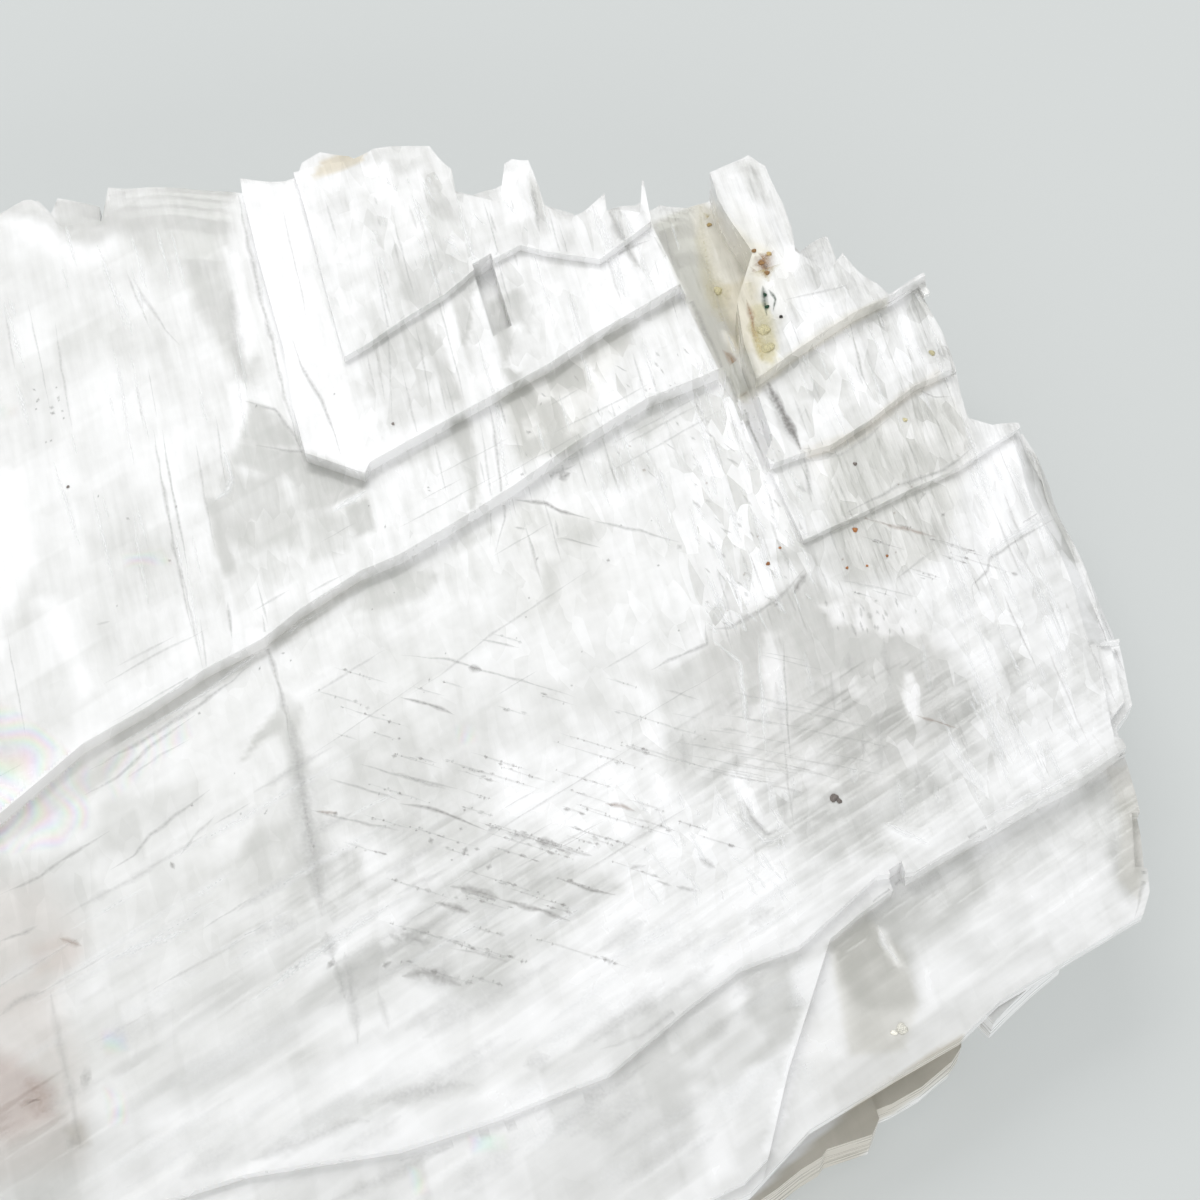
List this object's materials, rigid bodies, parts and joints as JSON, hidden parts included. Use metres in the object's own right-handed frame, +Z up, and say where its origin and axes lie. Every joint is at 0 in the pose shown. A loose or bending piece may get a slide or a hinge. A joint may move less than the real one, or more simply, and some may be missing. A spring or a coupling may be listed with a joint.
{
  "type": "selenite slab",
  "caption": "Flat clear slab of selenite with cleavage terraces on its upper face, splintered edges and a clay-stained recess; it lies on its flat back.",
  "frame": {"origin": "bottom centre of the slab's box, on the face it rests on", "axes": "+X along the longest side, +Y to the splintered far edge, +Z up, out of the upper face"},
  "size_m": [0.128, 0.112, 0.016],
  "materials": {
    "selenite": "clear to silvery white cleavage faces, low gloss, milky in places"
  },
  "bodies": {
    "root": {"slab": "selenite"}
  },
  "joints": []
}
